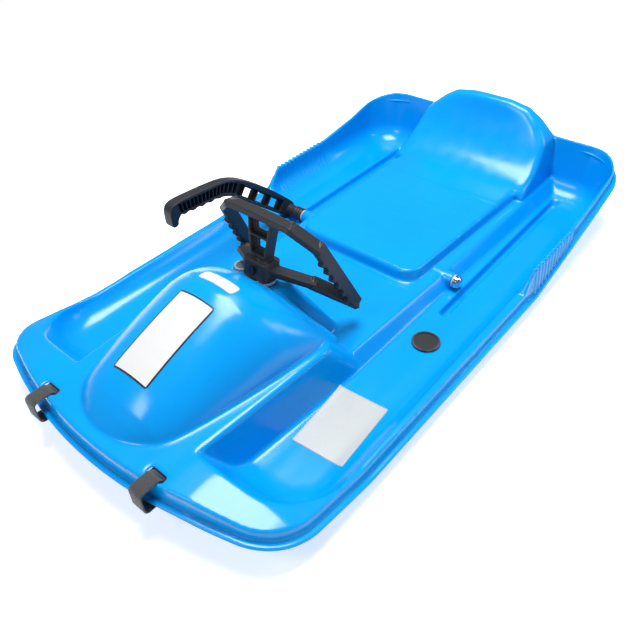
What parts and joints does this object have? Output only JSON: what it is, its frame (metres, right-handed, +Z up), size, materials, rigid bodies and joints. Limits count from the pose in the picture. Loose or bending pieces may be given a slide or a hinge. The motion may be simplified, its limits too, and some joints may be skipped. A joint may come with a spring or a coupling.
{
  "type": "steering sled",
  "caption": "Moulded bob sled with a cowl, seat and backrest, a steering yoke on a tilted column that turns a skid, and a hand lever that swings a claw brake.",
  "frame": {"origin": "on the ground under the middle of the whole sled's box", "axes": "+Y towards the backrest, so the nose faces -Y; +X to the rider's left; +Z up from the ground"},
  "size_m": [0.5252, 0.9473, 0.2192],
  "materials": {
    "hull_blue": "gloss",
    "handle_black": "satin",
    "plain_steel": "satin",
    "spring_steel": "satin",
    "bright_cap": "polished",
    "bush_plastic": "matte",
    "plug_black": "satin",
    "plug_grey": "satin",
    "webbing": "woven"
  },
  "bodies": {
    "hull_body": {"hull": "hull_blue", "column_bush": "bush_plastic", "axle_bush_left": "bush_plastic", "axle_bush_right": "bush_plastic", "brake_spring": "spring_steel", "floor_plug": "plug_black", "cowl_plug": "plug_grey", "tow_strap_left": "webbing", "tow_strap_right": "webbing"},
    "steering": {"steering_yoke": "handle_black", "steering_column": "plain_steel", "thrust_washer": "plain_steel", "retaining_ring": "plain_steel", "yoke_bolt": "plain_steel", "yoke_nut": "plain_steel", "steering_skid": "handle_black", "skid_bolt": "plain_steel", "skid_nut": "plain_steel"},
    "brake": {"brake_lever": "handle_black", "brake_axle": "plain_steel", "lever_pin": "plain_steel", "claw_pin": "plain_steel", "axle_cap": "bright_cap", "brake_claw": "plain_steel"}
  },
  "joints": [
    {"name": "steering_turn", "type": "hinge", "parent": "hull_body", "child": "steering", "pos_m": [0, -0.1797, 0.12], "axis": [0, 0.1736, 0.9848], "range_deg": [-25, 25]},
    {"name": "brake_pull", "type": "hinge", "parent": "hull_body", "child": "brake", "pos_m": [0, 0.0773, 0.0285], "axis": [-1, 0, 0], "range_deg": [0, 45], "stiffness_Nm_per_rad": 0.8, "springref_deg": -20.05, "deforming": ["brake_spring"]}
  ]
}
